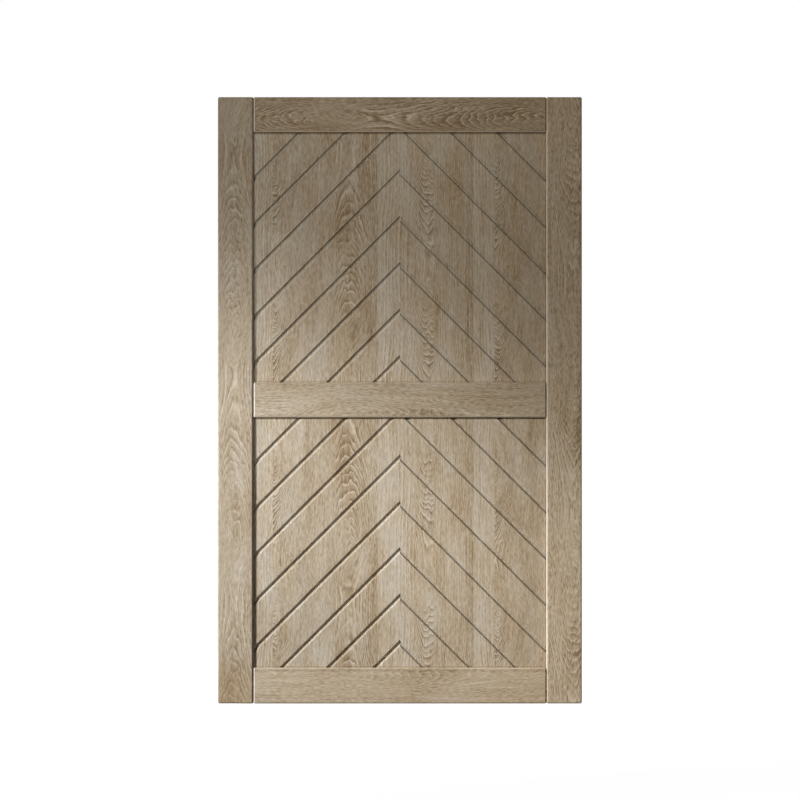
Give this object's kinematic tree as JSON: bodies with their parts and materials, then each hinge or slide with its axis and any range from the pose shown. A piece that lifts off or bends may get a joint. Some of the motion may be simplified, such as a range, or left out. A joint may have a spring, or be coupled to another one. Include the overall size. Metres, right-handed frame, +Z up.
{
  "type": "barn door",
  "caption": "Framed barn door slab: eased stiles and rails around sunk panels routed with up-pointing chevron grooves, with a floor guide groove in the bottom edge.",
  "frame": {"origin": "middle of the door's top edge, on the flat of the top rail, where the hanging hardware takes the weight", "axes": "+Z up, -Y out of the front face, +X to the right seen from the front; the door hangs below the origin"},
  "size_m": [1.2192, 0.0446, 2.032],
  "materials": {
    "frame_oak": "matt limed oak grain, weathered grey-tan",
    "panel_oak": "matt limed oak grain, weathered grey-tan"
  },
  "bodies": {
    "root": {"left_stile": "frame_oak", "right_stile": "frame_oak", "top_rail": "frame_oak", "middle_rail": "frame_oak", "bottom_rail": "frame_oak", "upper_panel": "panel_oak", "lower_panel": "panel_oak"}
  },
  "joints": []
}
